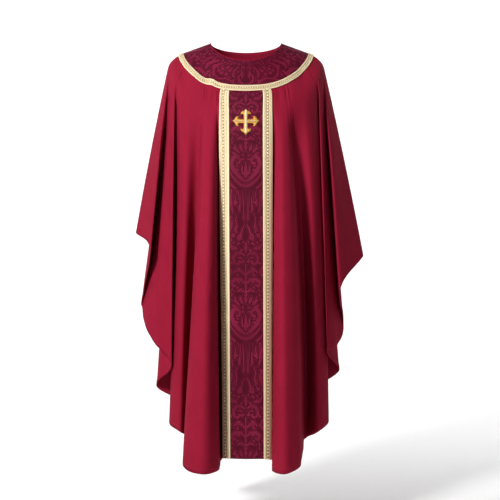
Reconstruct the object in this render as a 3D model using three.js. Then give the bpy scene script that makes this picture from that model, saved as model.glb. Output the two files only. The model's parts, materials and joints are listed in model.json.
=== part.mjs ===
// A gothic chasuble: a sleeveless liturgical cloak that hangs from the wearer's shoulders, with a round damask
// yoke, a damask orphrey down the middle of the front and the back, gold galloons and a small gold cross.
// Millimetres, +Z up, the wearer faces -Y. The origin is midway between the wearer's shoulders, at the height
// where the cloth rests on them.
import * as THREE from "three";

// Cloth and trim. The cloth is modelled thicker than the real fabric so that it stays a solid.
const CLOTH = 1.2;
const TRIM = 0.8;
const GAP = 0.4;
const SEAM_GAP = 0.4; // each panel stops this far from the plane of the shoulder seam
const HEM_WIDTH = 15;
const GALLOON_WIDTH = 20; // of the yoke
const GALLOON_OUTSIDE = 0.15; // share of that width outside the yoke's edge
const SEAM_ALLOWANCE = 10;
const SEAM_STITCHES = 2.5; // the allowance starts this far under the seam's edge
const ALLOWANCE_THICKNESS = 0.6;
const ORPHREY_HALF_WIDTH = 48; // to the middle of each galloon's inner edge
const LABEL_WIDTH = 44;
const LABEL_THICKNESS = 0.6;
const CROSS_SIZE = 80;
const CROSS_THICKNESS = 1.6;
const CROSS_HEIGHT = -234; // height of the middle of the cross
const NECK_HEIGHT = 20; // the neck points stand this high above the origin

// The neck opening, the yoke's outer edge and the chest line are half ovals around the body. Each has a half
// width, a height at the shoulder, and a depth and a drop from there to the middle, in front and behind. The
// powers of the width, the depth and the drop say how square each oval is.
const NECK = {
  halfWidth: 106,
  z: 0,
  depth: { front: 100, back: 88 },
  drop: { front: 68, back: 12 },
  powers: [1, 0.9, 1.2],
};
const YOKE = {
  halfWidth: 205,
  z: -36,
  depth: { front: 150, back: 128 },
  drop: { front: 126, back: 78 },
  powers: [0.765, 1.13, 1.5],
};
const CHEST = {
  halfWidth: 231,
  z: -60,
  depth: { front: 178, back: 160 },
  drop: { front: 180, back: 150 },
  powers: [0.85, 0.9, 1.2],
};

// Each fold line runs from the neck over the yoke to the hem. A row holds: name, distance of the line from the
// middle on the chest, then its place at the hem (sideways, forwards, down), then how far it bows outwards
// halfway. The wearer's right is -X. Depths are measured forwards from the shoulder seam.
const RIGHT_SIDE = [
  ["seam", 230, 330, 0, 567, 3],
  ["tip inner edge", 229, 276, 108, 612, 0],
  ["wing edge", 221, 311, 14, 787, 0],
  ["wing", 215, 275, 82, 875, 0],
  ["wing inner edge", 207, 215, 122, 945, 0],
  ["pleat back edge", 204, 264, 30, 1022, 0],
  ["pleat bottom", 202, 185, 25, 1073, 0],
  ["body edge", 199, 223, 78, 1117, -4],
  ["body ridge", 165, 189, 152, 1134, 0],
  ["side valley", 128, 160, 95, 1165, 5],
  ["lobe outer edge", 115, 172, 238, 1218, 0],
  ["lobe crest", 100, 118, 286, 1228, 0],
  ["lobe inner edge", 86, 82, 254, 1228, 0],
  ["gutter", 80, 72, 130, 1222, 4],
  ["galloon", 75, 63, 180, 1207, 0],
  ["orphrey", 47, 42, 204, 1204, 0],
];
const LEFT_SIDE = [
  ["seam", 231, 352, 0, 636, 3],
  ["tip inner edge", 230, 274, 104, 728, 0],
  ["wing edge", 222, 290, 22, 849, 0],
  ["wing", 217, 263, 82, 899, 0],
  ["wing inner edge", 213, 235, 122, 912, 0],
  ["pleat back edge", 210, 274, 30, 976, 0],
  ["pleat bottom", 207, 203, 25, 1037, 0],
  ["body edge", 203, 242, 78, 1109, 6],
  ["body ridge", 171, 206, 147, 1136, 6],
  ["side valley", 134, 172, 95, 1165, 15],
  ["lobe outer edge", 118, 149, 236, 1218, 6],
  ["lobe crest", 100, 107, 278, 1229, 0],
  ["lobe inner edge", 88, 74, 245, 1228, 0],
  ["gutter", 81, 85, 150, 1219, 0],
  ["galloon", 75, 71, 190, 1209, 0],
  ["orphrey", 48, 50, 204, 1205, 0],
];
const MIDDLE = ["middle", 0, 0, 205, 1205, 0];

// Along a fold line, v goes from 0 at the neck to 1 at the hem.
const YOKE_V = 0.09;
const CHEST_V = 0.17;
const ROUNDING_V = 0.028;
const DEPTH_POWER = 2.3; // how soon a fold reaches its full depth below the chest
const MITRE_LIMIT = 0.4; // an offset is at most 1 / 0.4 of its length at a sharp fold

const mirrored = ([name, x, ...rest], side) => ({ name, side, x: side * x, hem: rest });
const FRONT = {
  forward: -1,
  lines: [
    ...RIGHT_SIDE.map((row) => mirrored(row, -1)),
    mirrored(MIDDLE, 1),
    ...LEFT_SIDE.map((row) => mirrored(row, 1)).reverse(),
  ],
};
// The back hangs in the same kind of folds, a little closer to the body. Both panels share the seam's tip.
const BACK_SCALE = 0.965;
const backFold = ([name, x, out, depth, down, bow], side) => {
  const closer = name === "seam" ? 1 : BACK_SCALE;
  return mirrored([name, x, out * closer, depth * closer, down, bow], side);
};
const BACK = {
  forward: 1,
  lines: [
    ...LEFT_SIDE.map((row) => backFold(row, 1)),
    mirrored(MIDDLE, 1),
    ...RIGHT_SIDE.map((row) => backFold(row, -1)).reverse(),
  ],
};
const MIDDLE_LINE = RIGHT_SIDE.length;
const LAST_LINE = FRONT.lines.length - 1;

// A rounded ramp: 0 before a, 1 after b, straight between, with each end eased over ROUNDING_V.
const eased = (x) => {
  if (x < -ROUNDING_V) return 0;
  if (x > ROUNDING_V) return x;
  return (x + ROUNDING_V) ** 2 / (4 * ROUNDING_V);
};
const ramp = (v, a, b) => ((a === 0 ? v : eased(v - a)) - (b === 1 ? 0 : eased(v - b))) / (b - a);

const ovalPoint = (oval, panel, sine, cosine, side) => {
  const half = panel === FRONT ? "front" : "back";
  return new THREE.Vector3(
    side * oval.halfWidth * sine ** oval.powers[0],
    panel.forward * oval.depth[half] * cosine ** oval.powers[1],
    NECK_HEIGHT + oval.z - oval.drop[half] * cosine ** oval.powers[2],
  );
};

// The point of one fold line at v.
function linePoint(panel, line, v) {
  const sine = line.name === "seam" ? 1 : (Math.abs(line.x) / CHEST.halfWidth) ** (1 / CHEST.powers[0]);
  const cosine = Math.sqrt(Math.max(0, 1 - sine * sine));
  const [neck, yoke, chest] = [NECK, YOKE, CHEST].map((o) => ovalPoint(o, panel, sine, cosine, line.side));
  const [out, depth, down, bow] = line.hem;
  const below = ramp(v, CHEST_V, 1);
  const deep = 1 - Math.max(0, 1 - below) ** DEPTH_POWER;
  const p = neck
    .clone()
    .addScaledVector(yoke.clone().sub(neck), ramp(v, 0, YOKE_V))
    .addScaledVector(chest.clone().sub(yoke), ramp(v, YOKE_V, CHEST_V));
  p.x += (line.side * out - chest.x) * below + line.side * bow * 4 * below * (1 - below);
  p.y += (panel.forward * depth - chest.y) * deep + panel.forward * SEAM_GAP;
  p.z += (NECK_HEIGHT - down - chest.z) * below;
  return p;
}

// The cloth's inner face: line is a position across the panel, in fold lines counted from its first seam.
const rowCurves = new Map();
function clothPoint(panel, line, v) {
  const key = (panel === FRONT ? "front " : "back ") + v.toFixed(6);
  if (!rowCurves.has(key)) {
    const points = panel.lines.map((l) => linePoint(panel, l, v));
    rowCurves.set(key, new THREE.CatmullRomCurve3(points, false, "centripetal"));
  }
  return rowCurves.get(key).getPoint(line / LAST_LINE);
}

function clothNormal(panel, line, v) {
  const across = clothPoint(panel, Math.min(LAST_LINE, line + 0.04), v);
  across.sub(clothPoint(panel, Math.max(0, line - 0.04), v));
  const along = clothPoint(panel, line, Math.min(1, v + 0.004));
  along.sub(clothPoint(panel, line, Math.max(0, v - 0.004)));
  const normal = along.cross(across);
  if (line === 0 || line === LAST_LINE) normal.y *= v > CHEST_V ? 1 : 0;
  return normal.normalize();
}

// The way from the cloth's inner face outwards at each point of a grid. On a fold it bisects the two flanks and
// is longer than 1, so that the cloth keeps its thickness on both of them.
function outwards(panel, lines, heights, cloth) {
  const flank = (i, j, v) => {
    const along = clothPoint(panel, lines[i], Math.min(1, v + 0.004));
    along.sub(clothPoint(panel, lines[i], Math.max(0, v - 0.004)));
    const [before, after] = [-1, 0].map((k) => cloth[i + k + 1][j].clone().sub(cloth[i + k][j]));
    return [before, after].map((across) => along.clone().cross(across).normalize());
  };
  return lines.map((line, i) =>
    heights[i].map((v, j) => {
      if (i === 0 || i === lines.length - 1) return clothNormal(panel, line, v);
      const [before, after] = flank(i, j, v);
      const normal = before.clone().add(after).normalize();
      return normal.multiplyScalar(1 / Math.max(MITRE_LIMIT, normal.dot(before)));
    }),
  );
}

// A closed sheet between two distances from the cloth's inner face, over a grid of lines and stations. A station
// is a v, or a function that gives the v on a line.
function sheet(panel, lines, stations, inner, outer) {
  const heights = lines.map((line) => stations.map((v) => (typeof v === "function" ? v(line) : v)));
  const cloth = lines.map((line, i) => heights[i].map((v) => clothPoint(panel, line, v)));
  const normals = outwards(panel, lines, heights, cloth);
  const faces = [outer, inner].map((offset) =>
    cloth.map((column, i) => column.map((p, j) => p.clone().addScaledVector(normals[i][j], offset))),
  );
  const rows = stations.length;
  const columns = lines.length;
  const id = (face, i, j) => (face * columns + i) * rows + j;
  const index = [];
  const quad = (a, b, c, d) => index.push(a, b, c, a, c, d);
  for (let i = 0; i < columns - 1; i++)
    for (let j = 0; j < rows - 1; j++) {
      quad(id(0, i, j), id(0, i, j + 1), id(0, i + 1, j + 1), id(0, i + 1, j));
      quad(id(1, i, j), id(1, i + 1, j), id(1, i + 1, j + 1), id(1, i, j + 1));
    }
  for (let i = 0; i < columns - 1; i++) {
    quad(id(0, i, 0), id(0, i + 1, 0), id(1, i + 1, 0), id(1, i, 0));
    quad(id(0, i, rows - 1), id(1, i, rows - 1), id(1, i + 1, rows - 1), id(0, i + 1, rows - 1));
  }
  for (let j = 0; j < rows - 1; j++) {
    quad(id(0, 0, j), id(1, 0, j), id(1, 0, j + 1), id(0, 0, j + 1));
    quad(id(0, columns - 1, j), id(0, columns - 1, j + 1), id(1, columns - 1, j + 1), id(1, columns - 1, j));
  }
  const geometry = new THREE.BufferGeometry();
  geometry.setFromPoints(faces.flat(2));
  geometry.setIndex(index);
  return geometry;
}

// Positions across the panel from one line to another, close enough to follow the folds at the hem.
function across(panel, from, to, pitch) {
  const lines = [];
  const stops = [from];
  for (let k = Math.floor(from) + 1; k < to; k++) stops.push(k);
  stops.push(to);
  for (let k = 0; k < stops.length - 1; k++) {
    const width = clothPoint(panel, stops[k], 1).distanceTo(clothPoint(panel, stops[k + 1], 1));
    const parts = Math.ceil(width / pitch);
    for (let m = 0; m < parts; m++) lines.push(stops[k] + ((stops[k + 1] - stops[k]) * m) / parts);
  }
  lines.push(to);
  return lines;
}

const lineLength = (panel, line, from, to) =>
  clothPoint(panel, line, from).distanceTo(clothPoint(panel, line, to));
// The v that lies a given distance above the hem, or from the neck.
const aboveHem = (panel, line, distance) => 1 - (distance * 0.1) / lineLength(panel, line, 0.9, 1);
const fromNeck = (panel, line, distance) => (distance * YOKE_V) / lineLength(panel, line, 0, YOKE_V);

const DAMASK = { color: 0x6e1430, roughness: 0.5, metalness: 0 };
const RED_CLOTH = { color: 0x99202f, roughness: 0.75, metalness: 0 };
const LINING_RED = { color: 0x8a1a2c, roughness: 0.8, metalness: 0 };
const GOLD_BRAID = { color: 0xd9c184, roughness: 0.45, metalness: 0.3 };
const GOLD_THREAD = { color: 0xdcb45a, roughness: 0.4, metalness: 0.4 };
const WHITE_SATIN = { color: 0xf1eee6, roughness: 0.5, metalness: 0 };

const chasuble = new THREE.Group();
function piece(name, geometry, look) {
  const mesh = new THREE.Mesh(geometry, new THREE.MeshStandardMaterial(look));
  mesh.name = name;
  chasuble.add(mesh);
  return mesh;
}

const PITCH = 48; // of the mesh across the hem
const FACING_V = 0.03;
const OVER = CLOTH + GAP; // the first layer of trim starts here
const OVER_TRIM = OVER + TRIM + GAP; // and the second here
const UNDER = -2 * GAP; // the pieces inside start here

for (const [side, panel] of Object.entries({ front: FRONT, back: BACK })) {
  const hemTop = (line) => aboveHem(panel, line, HEM_WIDTH);
  const hemFold = (line) => aboveHem(panel, line, 1);
  const all = across(panel, 0, LAST_LINE, PITCH);
  const heights = [0, FACING_V, 0.06, YOKE_V, 0.13, CHEST_V, 0.22, 0.32, 0.52, 0.76, hemTop];
  piece(`${side}_panel`, sheet(panel, all, [...heights, 1], 0, CLOTH), RED_CLOTH);

  piece(`${side}_yoke`, sheet(panel, all, [0, FACING_V, 0.06, YOKE_V], OVER, OVER + TRIM), DAMASK);
  const braidWidth = (line) => fromNeck(panel, line, GALLOON_WIDTH);
  const braidTop = (line) => YOKE_V - braidWidth(line) * (1 - GALLOON_OUTSIDE);
  const braidFoot = (line) => YOKE_V + braidWidth(line) * GALLOON_OUTSIDE;
  const yokeBraid = sheet(panel, all, [braidTop, braidFoot], OVER_TRIM, OVER_TRIM + TRIM);
  piece(`${side}_yoke_galloon`, yokeBraid, GOLD_BRAID);

  // The orphrey starts at the yoke's edge and its galloons below the yoke's galloon; both end at the hem.
  const low = heights.filter((v) => typeof v === "function" || v > YOKE_V);
  const orphreyLines = across(panel, MIDDLE_LINE - 1.5, MIDDLE_LINE + 1.5, PITCH);
  const orphreyHeights = [YOKE_V + 0.0045, ...low, hemFold];
  piece(`${side}_orphrey`, sheet(panel, orphreyLines, orphreyHeights, OVER, OVER + TRIM), DAMASK);
  for (const from of [MIDDLE_LINE - 2, MIDDLE_LINE + 1]) {
    const onRight = from < MIDDLE_LINE === (side === "front");
    const name = `${side}_orphrey_galloon_${onRight ? "right" : "left"}`;
    const start = (line) => braidFoot(line) + 0.001;
    const lines = [from, from + 0.5, from + 1];
    piece(name, sheet(panel, lines, [start, ...low, hemFold], OVER_TRIM, OVER_TRIM + TRIM), GOLD_BRAID);
  }

  // Inside: a facing round the neck and the hem's turned-up allowance.
  const inside = all.filter((line) => line > 0.3 && line < LAST_LINE - 0.3);
  piece(`${side}_neck_facing`, sheet(panel, inside, [0.001, FACING_V], UNDER - TRIM, UNDER), LINING_RED);
  piece(`${side}_hem_allowance`, sheet(panel, inside, [hemTop, hemFold], UNDER - TRIM, UNDER), LINING_RED);
}

// The blank size label inside the back of the neck.
const labelSpan = LABEL_WIDTH / 2 / ORPHREY_HALF_WIDTH;
const labelLines = [-1, -0.5, 0, 0.5, 1].map((s) => MIDDLE_LINE + labelSpan * s);
const labelHeights = [34, 62].map((distance) => (line) => fromNeck(BACK, line, distance));
const labelOuter = UNDER - TRIM - GAP;
const label = sheet(BACK, labelLines, labelHeights, labelOuter - LABEL_THICKNESS, labelOuter);
piece("size_label", label, WHITE_SATIN);

// The seam allowance of each shoulder seam: both layers pressed together, standing inwards in the seam's plane.
for (const [name, line] of [["right", 0], ["left", LAST_LINE]]) {
  const steps = [0.035, 0.06, 0.08, 0.09, 0.1, 0.115, 0.13, 0.15, 0.17, 0.2, 0.3, 0.5, 0.7, 0.9, 0.99];
  const path = steps.map((v) => clothPoint(FRONT, line, v));
  const outline = [];
  for (const distance of [SEAM_STITCHES, SEAM_STITCHES + SEAM_ALLOWANCE]) {
    const run = path.map((p, i) => {
      const next = path[Math.min(i + 1, path.length - 1)];
      const before = path[Math.max(i - 1, 0)];
      const along = new THREE.Vector2(next.x - before.x, next.z - before.z).normalize();
      const turn = name === "right" ? 1 : -1;
      return new THREE.Vector2(p.x - turn * along.y * distance, p.z + turn * along.x * distance);
    });
    outline.push(...(distance === SEAM_STITCHES ? run : run.reverse()));
  }
  const extrusion = { depth: ALLOWANCE_THICKNESS, bevelEnabled: false };
  const geometry = new THREE.ExtrudeGeometry(new THREE.Shape(outline), extrusion);
  const seam = piece(`shoulder_seam_allowance_${name}`, geometry, LINING_RED);
  seam.rotation.x = Math.PI / 2;
  seam.position.y = ALLOWANCE_THICKNESS / 2;
}

// The cross on the orphrey: four arms, each with a narrow stem, a barb swept back on each side and a pointed tip,
// in shares of half the cross.
const half = CROSS_SIZE / 2;
const arm = [
  [0.15, 0.15],
  [0.145, 0.42],
  [0.17, 0.53],
  [0.26, 0.58],
  [0.38, 0.52],
  [0.37, 0.66],
  [0.29, 0.76],
  [0.17, 0.81],
  [0.1, 0.88],
  [0, 1],
].map(([x, y]) => [x * half, y * half]);
const quarter = [...arm, ...arm.slice(1, -1).reverse().map(([x, y]) => [-x, y])];
const crossOutline = [];
for (let k = 0; k < 4; k++) {
  const angle = (k * Math.PI) / 2;
  for (const [x, y] of quarter)
    crossOutline.push(new THREE.Vector2(x, y).rotateAround(new THREE.Vector2(0, 0), angle));
}
let crossV = YOKE_V;
while (clothPoint(FRONT, MIDDLE_LINE, crossV).z > CROSS_HEIGHT) crossV += 0.001;
const crossCentre = clothPoint(FRONT, MIDDLE_LINE, crossV);
const crossNormal = clothNormal(FRONT, MIDDLE_LINE, crossV);
const crossShape = new THREE.Shape(crossOutline);
const crossBody = new THREE.ExtrudeGeometry(crossShape, { depth: CROSS_THICKNESS, bevelEnabled: false });
const cross = piece("front_cross", crossBody, GOLD_THREAD);
cross.position.copy(crossCentre).addScaledVector(crossNormal, OVER_TRIM + GAP);
cross.up.set(0, 0, 1);
cross.lookAt(cross.position.clone().add(crossNormal));

export default chasuble;
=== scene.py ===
import json
import math

import bpy
import numpy as np
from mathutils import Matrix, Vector

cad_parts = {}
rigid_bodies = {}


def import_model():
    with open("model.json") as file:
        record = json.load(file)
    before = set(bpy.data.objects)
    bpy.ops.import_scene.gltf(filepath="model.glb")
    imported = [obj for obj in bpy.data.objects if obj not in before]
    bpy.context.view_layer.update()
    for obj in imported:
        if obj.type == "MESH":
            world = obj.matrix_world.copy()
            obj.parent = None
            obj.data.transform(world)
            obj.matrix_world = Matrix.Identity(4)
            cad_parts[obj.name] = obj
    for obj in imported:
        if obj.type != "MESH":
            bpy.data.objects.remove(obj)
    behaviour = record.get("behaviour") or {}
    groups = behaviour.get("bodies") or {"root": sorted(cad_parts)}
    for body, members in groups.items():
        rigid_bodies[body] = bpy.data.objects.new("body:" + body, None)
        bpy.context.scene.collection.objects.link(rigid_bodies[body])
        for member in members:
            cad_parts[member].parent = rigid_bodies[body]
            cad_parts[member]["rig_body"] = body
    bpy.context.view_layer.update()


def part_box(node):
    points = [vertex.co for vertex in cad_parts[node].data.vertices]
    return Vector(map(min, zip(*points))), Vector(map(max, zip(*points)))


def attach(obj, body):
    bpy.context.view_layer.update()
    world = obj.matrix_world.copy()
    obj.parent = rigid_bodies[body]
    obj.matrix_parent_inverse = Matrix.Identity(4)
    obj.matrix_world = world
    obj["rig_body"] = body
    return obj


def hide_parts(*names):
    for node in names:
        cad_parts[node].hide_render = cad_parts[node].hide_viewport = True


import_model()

bl_info = {
    "name": "Gothic Chasuble",
    "version": (1, 0, 0),
    "blender": (4, 5, 0),
    "location": "3D View > Sidebar > Chasuble",
    "description": "A red gothic chasuble with a damask yoke, gold galloons and an embroidered cross",
    "category": "Object",
}

MM = 0.001

# The drape, in millimetres: +Z up, the wearer faces -Y and the wearer's right is -X. The neck opening, the
# yoke's edge and the chest line are half ovals around the body, with a depth and a drop in front and behind.
# The powers of the width, the depth and the drop say how square each oval is.
NECK = {"half_width": 106, "z": 0, "depth": (100, 88), "drop": (68, 12), "powers": (1, 0.9, 1.2)}
YOKE = {"half_width": 205, "z": -36, "depth": (150, 128), "drop": (126, 78), "powers": (0.765, 1.13, 1.5)}
CHEST = {"half_width": 231, "z": -60, "depth": (178, 160), "drop": (180, 150), "powers": (0.85, 0.9, 1.2)}
NECK_HEIGHT = 20
SEAM_GAP = 0.4
BACK_SCALE = 0.965

# The fold lines from the shoulder seam to the middle: distance from the middle on the chest, then the place
# at the hem sideways, forwards and down, then how far the line bows outwards halfway.
RIGHT_SIDE = (
    ("seam", 230, 330, 0, 567, 3),
    ("tip inner edge", 229, 276, 108, 612, 0),
    ("wing edge", 221, 311, 14, 787, 0),
    ("wing", 215, 275, 82, 875, 0),
    ("wing inner edge", 207, 215, 122, 945, 0),
    ("pleat back edge", 204, 264, 30, 1022, 0),
    ("pleat bottom", 202, 185, 25, 1073, 0),
    ("body edge", 199, 223, 78, 1117, -4),
    ("body ridge", 165, 189, 152, 1134, 0),
    ("side valley", 128, 160, 95, 1165, 5),
    ("lobe outer edge", 115, 172, 238, 1218, 0),
    ("lobe crest", 100, 118, 286, 1228, 0),
    ("lobe inner edge", 86, 82, 254, 1228, 0),
    ("gutter", 80, 72, 130, 1222, 4),
    ("galloon", 75, 63, 180, 1207, 0),
    ("orphrey", 47, 42, 204, 1204, 0),
)
LEFT_SIDE = (
    ("seam", 231, 352, 0, 636, 3),
    ("tip inner edge", 230, 274, 104, 728, 0),
    ("wing edge", 222, 290, 22, 849, 0),
    ("wing", 217, 263, 82, 899, 0),
    ("wing inner edge", 213, 235, 122, 912, 0),
    ("pleat back edge", 210, 274, 30, 976, 0),
    ("pleat bottom", 207, 203, 25, 1037, 0),
    ("body edge", 203, 242, 78, 1109, 6),
    ("body ridge", 171, 206, 147, 1136, 6),
    ("side valley", 134, 172, 95, 1165, 15),
    ("lobe outer edge", 118, 149, 236, 1218, 6),
    ("lobe crest", 100, 107, 278, 1229, 0),
    ("lobe inner edge", 88, 74, 245, 1228, 0),
    ("gutter", 81, 85, 150, 1219, 0),
    ("galloon", 75, 71, 190, 1209, 0),
    ("orphrey", 48, 50, 204, 1205, 0),
)
MIDDLE = (("middle", 0, 0, 205, 1205, 0),)
MIDDLE_LINE = 16
LAST_LINE = 32

# Along a fold line, v goes from 0 at the neck to 1 at the hem.
YOKE_V = 0.09
CHEST_V = 0.17
ROUNDING_V = 0.028
DEPTH_POWER = 2.3

# How many frames the cloth settles for.
SETTLING_FRAMES = 24

# The gap between two layers of cloth and the widths of the trims, in millimetres.
LAYER_GAP = 0.55
HEM_WIDTH = 15
YOKE_GALLOON_WIDTH = 20
ORPHREY_HALF_WIDTH = 48
LABEL_WIDTH = 44
SEAM_ALLOWANCE = 10

# Places along the fold lines where the neck facing ends and where the orphrey starts.
FACING_V = 0.03
ORPHREY_V = YOKE_V + 0.0045

# Shares of a galloon's width: how much of the yoke's lies outside the yoke's edge, and where the beads lie.
GALLOON_OUTSIDE = 0.15
BEAD_ROW = 0.47

# The damask's figure on one side of its middle line, mirrored on the other. Each stroke is a row of points
# (sideways, down, half width) in millimetres.
ORPHREY_REPEAT = 430
ORPHREY_START = 156
PALMETTE = (
    (
        *((2, 112, 2), (16, 102, 5), (32, 86, 7), (41, 66, 6)),
        *((35, 48, 5), (23, 43, 4), (15, 52, 3), (20, 63, 2.5)),
    ),
    ((0, 126, 3.5), (14, 122, 3.5), (27, 113, 3), (40, 98, 2.2), (47, 84, 1.2)),
    ((0, 58, 1), (0, 74, 4), (0, 92, 5), (0, 103, 1.5)),
    ((9, 66, 1), (11, 78, 2.5), (8, 92, 2)),
    ((47, 118, 2), (40, 128, 4), (30, 134, 2)),
)
CROWN = tuple(
    (
        (24 * math.sin(turn), 46 - 20 * math.cos(turn), 1.2),
        (32 * math.sin(turn), 46 - 30 * math.cos(turn), 4.6),
        (40 * math.sin(turn), 46 - 42 * math.cos(turn), 1.2),
    )
    for turn in (0, 0.42, 0.84, 1.26)
)
DROPS = (
    ((5, 140, 1.2), (6, 180, 1.6), (6, 205, 2.2), (6, 216, 4.2), (6, 222, 1.5)),
    ((15, 142, 1.2), (17, 176, 1.6), (18, 192, 3.6), (18, 200, 1.5)),
    ((26, 138, 1.2), (29, 164, 1.6), (31, 176, 3.4), (31, 184, 1.5)),
    ((40, 140, 2), (44, 160, 5), (41, 186, 4), (36, 205, 1.5)),
    ((2, 232, 1.2), (9, 246, 2), (14, 262, 2), (13, 274, 3), (20, 278, 3), (22, 268, 2), (16, 262, 1.5)),
    ((24, 206, 1.2), (28, 222, 2), (25, 240, 2.4), (30, 252, 4), (26, 260, 1.5)),
    ((47, 218, 2), (40, 232, 4.5), (44, 250, 4), (47, 262, 2)),
)
SCROLL = (
    ((0, 286, 2), (0, 300, 4.5), (0, 312, 2)),
    (
        *((3, 322, 1.5), (14, 314, 3), (27, 318, 3.4), (35, 330, 3.4)),
        *((32, 345, 3), (21, 348, 2.6), (17, 338, 2.6)),
    ),
    ((46, 292, 2), (38, 304, 4.5), (28, 300, 2)),
    ((0, 345, 1.5), (0, 372, 2), (0, 410, 2), (0, 428, 1.5)),
    ((2, 376, 1.5), (12, 366, 4), (24, 364, 4), (34, 372, 1.5)),
    ((2, 400, 1.5), (13, 390, 4.5), (28, 390, 5), (40, 400, 4), (36, 412, 3), (28, 408, 2)),
    ((3, 424, 1.5), (14, 418, 4), (24, 424, 1.5)),
    ((47, 356, 2), (42, 372, 4), (47, 384, 2)),
)


def rosette(x, y, size):
    """Five round petals around a small eye."""
    petals = []
    for k in range(5):
        turn = math.tau * k / 5 - math.pi / 2
        near, far = (
            (x + size * reach * math.cos(turn), y + size * reach * math.sin(turn), size * half_width)
            for reach, half_width in ((0.38, 0.1), (0.72, 0.3))
        )
        petals.append((near, far))
    petals.append(((x - 0.1, y, size * 0.14), (x + 0.1, y, size * 0.14)))
    return tuple(petals)


# The yoke's figure: distance along the yoke from its middle, then distance down from the neck.
YOKE_FIGURE = (
    ((3, 88, 1.5), (16, 78, 3), (22, 62, 3), (15, 48, 2.6), (8, 54, 2.4), (12, 64, 2)),
    ((4, 34, 1.5), (10, 22, 2.2), (18, 28, 2.4), (16, 42, 2), (8, 46, 1.5)),
    ((24, 92, 2), (40, 78, 2.6), (56, 74, 2.4), (76, 82, 3), (92, 74, 4), (104, 60, 2)),
    ((34, 30, 1.5), (42, 42, 4), (40, 58, 3.4), (32, 66, 1.5)),
    ((52, 92, 3), (66, 96, 4), (84, 98, 2)),
    ((96, 24, 1.5), (108, 34, 5), (112, 50, 6), (104, 60, 3)),
    ((118, 20, 2), (132, 32, 6), (140, 50, 6), (132, 66, 2)),
    ((112, 92, 2), (128, 80, 5), (146, 78, 6), (160, 86, 2)),
    ((150, 18, 2), (160, 34, 5), (156, 52, 4), (148, 62, 2)),
    ((214, 92, 2), (204, 76, 4), (210, 60, 5), (222, 52, 2)),
    ((172, 92, 2), (186, 84, 4.5), (200, 92, 2)),
    ((226, 30, 2), (238, 42, 6), (246, 62, 6), (240, 84, 2)),
    ((262, 24, 2), (270, 44, 5), (264, 66, 5), (256, 80, 2)),
    ((284, 20, 2), (290, 46, 5), (286, 76, 3)),
    *rosette(69, 48, 19),
    *rosette(190, 44, 17),
)

# The cross: one arm with a narrow stem, barbs swept back on each side and a pointed tip, in shares of half
# the cross.
CROSS_ARM = (
    (0.15, 0.15),
    (0.145, 0.42),
    (0.17, 0.53),
    (0.26, 0.58),
    (0.38, 0.52),
    (0.37, 0.66),
    (0.29, 0.76),
    (0.17, 0.81),
    (0.1, 0.88),
    (0.0, 1.0),
)


def linear(code):
    """The linear colour of a hex code in sRGB."""
    shares = [int(code[k : k + 2], 16) / 255 for k in (1, 3, 5)]
    return tuple(c / 12.92 if c <= 0.04045 else ((c + 0.055) / 1.055) ** 2.4 for c in shares)


def length(name, text, default):
    """A setting in metres."""
    return bpy.props.FloatProperty(name=name, description=text, default=default, unit="LENGTH")


def power(name, text, default):
    """A light's strength in watts."""
    return bpy.props.FloatProperty(name=name, description=text, default=default, unit="POWER")


def tint(name, text, code):
    """A colour setting from a hex code."""
    return bpy.props.FloatVectorProperty(name=name, description=text, default=linear(code), subtype="COLOR")


class ChasubleSizes(bpy.types.PropertyGroup):
    """Sizes of the cloth and of its trims."""

    cloth: length("Cloth thickness", "Thickness of the twill", 0.7 * MM)
    damask: length("Damask thickness", "Thickness of the yoke and the orphrey", 0.6 * MM)
    braid: length("Braid thickness", "Thickness of the galloon's ground", 0.7 * MM)
    inner: length("Inner cloth thickness", "Thickness of the facing and of the turned hem", 0.5 * MM)
    piping: length("Piping radius", "Radius of the roll round the neck opening", 1.5 * MM)
    column: length("Mesh width", "Width of the cloth's mesh at the hem", 10.5 * MM)
    ripple: length("Ripple", "Height of the small ripples between the folds", 2.6 * MM)
    pucker: length("Pucker", "Height of the puckers below the yoke's galloon", 0.9 * MM)
    settle: length("Settling", "Most that a point of the cloth moves as it settles", 9 * MM)
    bead_pitch: length("Bead spacing", "Distance between the galloon's beads", 9.4 * MM)
    bead: length("Bead length", "Length of one bead of the galloon", 6.2 * MM)
    rib_pitch: length("Rib spacing", "Distance between the galloon's slanting ribs", 4.7 * MM)
    stitch_pitch: length("Stitch spacing", "Distance between the hem's stitches", 6 * MM)
    overcast_pitch: length("Overcast spacing", "Distance between the seam's overcast stitches", 3.2 * MM)
    cross: length("Cross", "Height and width of the embroidered cross", 82 * MM)


class ChasubleColours(bpy.types.PropertyGroup):
    """Colours of the cloths and threads."""

    twill: tint("Twill", "The red cloth", "#9C1F38")
    # Dark red for the dye's unevenness and for painted shade between the twill's ridges.
    twill_dye_and_shade: tint("Twill shade", "Darker red between its ridges", "#7F142A")
    ground: tint("Damask ground", "The damask's darker ground", "#48061B")
    figure: tint("Damask figure", "The damask's satin figure", "#841E3E")
    gold: tint("Gold braid", "The galloon's raised threads", "#FFF0C6")
    # The galloon's painted shade in the hollows between its threads.
    gold_hollow_shade: tint("Braid hollow", "The galloon between its threads", "#94713A")
    thread: tint("Gold thread", "The cross's yellow gold", "#E9B646")
    outline: tint("Outline", "The brown gold cord round the cross", "#B4702A")
    silver: tint("Pale thread", "The cross's pale middle bar", "#FBF6E4")
    label: tint("Label", "The blank satin label", "#F1EEE6")


class ChasubleStage(bpy.types.PropertyGroup):
    """The floor, the lights and the camera."""

    floor: length("Floor", "Height of the floor under the origin", -1.42)
    distance: length("Camera distance", "Distance of the camera in front", 3.2)
    width: length("View width", "Width of the view at the middle of the object", 1.5)
    key: power("Key light", "Strength of the key light", 157)
    fill: power("Fill light", "Strength of the fill", 9)
    wash: power("Backdrop light", "Strength of the backdrop's lights", 60)
    sky: bpy.props.FloatProperty(name="Surroundings", description="Brightness of the room", default=0.03)


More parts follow.
